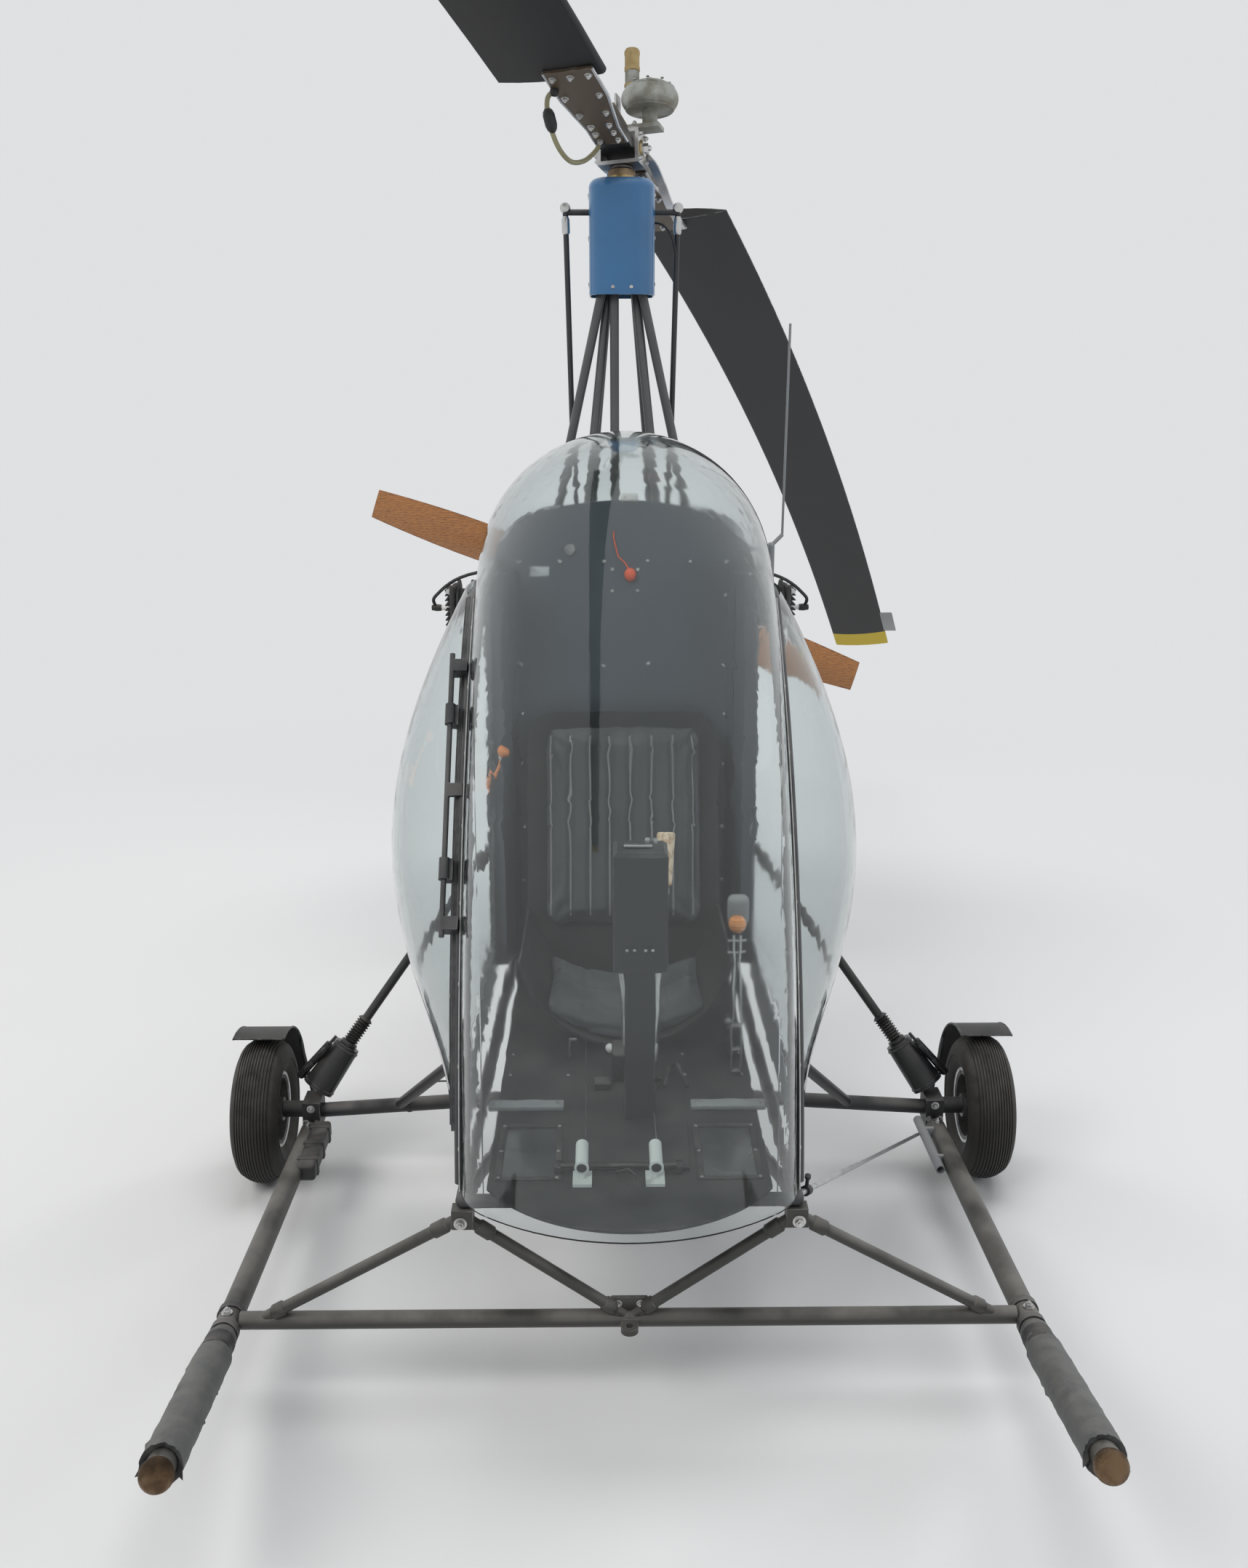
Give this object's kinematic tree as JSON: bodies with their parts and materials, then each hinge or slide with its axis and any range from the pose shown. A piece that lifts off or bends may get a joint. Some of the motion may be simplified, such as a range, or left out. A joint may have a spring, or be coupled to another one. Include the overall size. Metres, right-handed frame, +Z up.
{
  "type": "light aircraft",
  "caption": "Single-seat autogyro with a blown clear cabin, a hinged door, skids with wheels, a teetering rotor on a mast and a pusher propeller.",
  "frame": {"origin": "on the ground under the middle of the whole aircraft's bounding box", "axes": "+Z up, nose to -Y and tail to +Y, the pilot's left to +X; the aircraft stands parked on its wheels and tail skid"},
  "size_m": [2.1989, 5.7054, 2.6524],
  "materials": {
    "aluminium_cast": "cast, sandblasted",
    "bare_steel": "plated",
    "blade_skin": "satin dark, yellow tip band",
    "blue_fairing": "gloss",
    "bronze": "cast, dull",
    "brown_plate": "satin",
    "clear_panel": "clear, slightly grey",
    "cream_paint": "gloss",
    "cushion": "ribbed cloth",
    "cylinder_iron": "finned, matte",
    "dark_box": "matte",
    "dark_steel": "dark, oiled",
    "floor_sheet": "satin grey",
    "frame_black": "satin",
    "gear_grey": "satin black, worn",
    "handle_red": "gloss",
    "pale_wood": "smooth, oiled",
    "rough_sleeve": "rough wrapped, matte",
    "seat_shell": "moulded, satin",
    "slate_panel": "satin slate grey",
    "spring_steel": "dark",
    "tail_skin": "gloss",
    "tank_white": "moulded",
    "tyre": "ribbed, dusty black",
    "varnished_wood": "gloss varnish",
    "wheel_alloy": "spun, satin"
  },
  "bodies": {
    "airframe": {"antenna": "bare_steel", "axle_arm_left": "gear_grey", "axle_arm_right": "gear_grey", "back_cushion": "cushion", "bulkhead": "slate_panel", "cabin_floor": "floor_sheet", "control_linkage": "bare_steel", "control_stick": "bare_steel", "door_hinge_rod": "bare_steel", "engine_case": "aluminium_cast", "engine_cylinders": "cylinder_iron", "engine_mount": "frame_black", "front_gear_frame": "frame_black", "fuel_tank": "tank_white", "head_block": "bare_steel", "head_fairing": "blue_fairing", "instrument_post": "dark_box", "lower_frame": "frame_black", "mast_truss": "frame_black", "mudguards": "dark_box", "nose_block": "dark_box", "rear_frame": "frame_black", "rudder_pedals": "cream_paint", "seat_cushion": "cushion", "seat_pan": "seat_shell", "shock_struts": "gear_grey", "side_bubble": "clear_panel", "side_hoop_left": "frame_black", "side_hoop_right": "frame_black", "side_jambs": "slate_panel", "side_skirts": "slate_panel", "skid_balls": "bronze", "skid_sleeves": "rough_sleeve", "skids": "gear_grey", "stick_grip": "pale_wood", "tail_boom": "frame_black", "tail_fin": "tail_skin", "tail_skid": "spring_steel", "tailplane": "tail_skin", "throttle_lever": "dark_box", "windscreen": "clear_panel"},
    "wheel_left": {"tyre_left": "tyre", "wheel_left": "wheel_alloy"},
    "wheel_right": {"tyre_right": "tyre", "wheel_right": "wheel_alloy"},
    "door": {"door_bubble": "clear_panel", "door_frame": "frame_black", "door_handle": "handle_red"},
    "rotor_spindle": {"rotor_spindle": "dark_steel", "fuel_collector": "aluminium_cast"},
    "rotor": {"hub_bar": "dark_steel", "root_plates": "brown_plate", "rotor_blade_front": "blade_skin", "rotor_blade_rear": "blade_skin"},
    "propeller": {"propeller": "varnished_wood"},
    "rudder": {"rudder": "tail_skin"}
  },
  "joints": [
    {"name": "wheel_left_spin", "type": "hinge", "parent": "airframe", "child": "wheel_left", "pos_m": [0.748, -0.16, 0.15], "axis": [1, 0, 0], "continuous": true},
    {"name": "wheel_right_spin", "type": "hinge", "parent": "airframe", "child": "wheel_right", "pos_m": [-0.748, -0.16, 0.15], "axis": [1, 0, 0], "continuous": true},
    {"name": "door_hinge", "type": "hinge", "parent": "airframe", "child": "door", "pos_m": [-0.293, -0.66901, 0.97483], "axis": [0, 0.6037, 0.7972], "range_deg": [0, 85]},
    {"name": "rotor_spin", "type": "hinge", "parent": "airframe", "child": "rotor_spindle", "pos_m": [0, 0.14, 2.058], "axis": [0, 0.1736, 0.9848], "continuous": true},
    {"name": "rotor_teeter", "type": "hinge", "parent": "rotor_spindle", "child": "rotor", "pos_m": [0, 0.14, 2.058], "axis": [-0.9511, 0.3043, -0.0537], "range_deg": [-18, 0]},
    {"name": "propeller_spin", "type": "hinge", "parent": "airframe", "child": "propeller", "pos_m": [0, 0.702, 1.12], "axis": [0, 1, 0], "continuous": true},
    {"name": "rudder_hinge", "type": "hinge", "parent": "airframe", "child": "rudder", "pos_m": [0, 2.002, 0.7], "axis": [0, 0, 1], "range_deg": [-25, 25]}
  ]
}
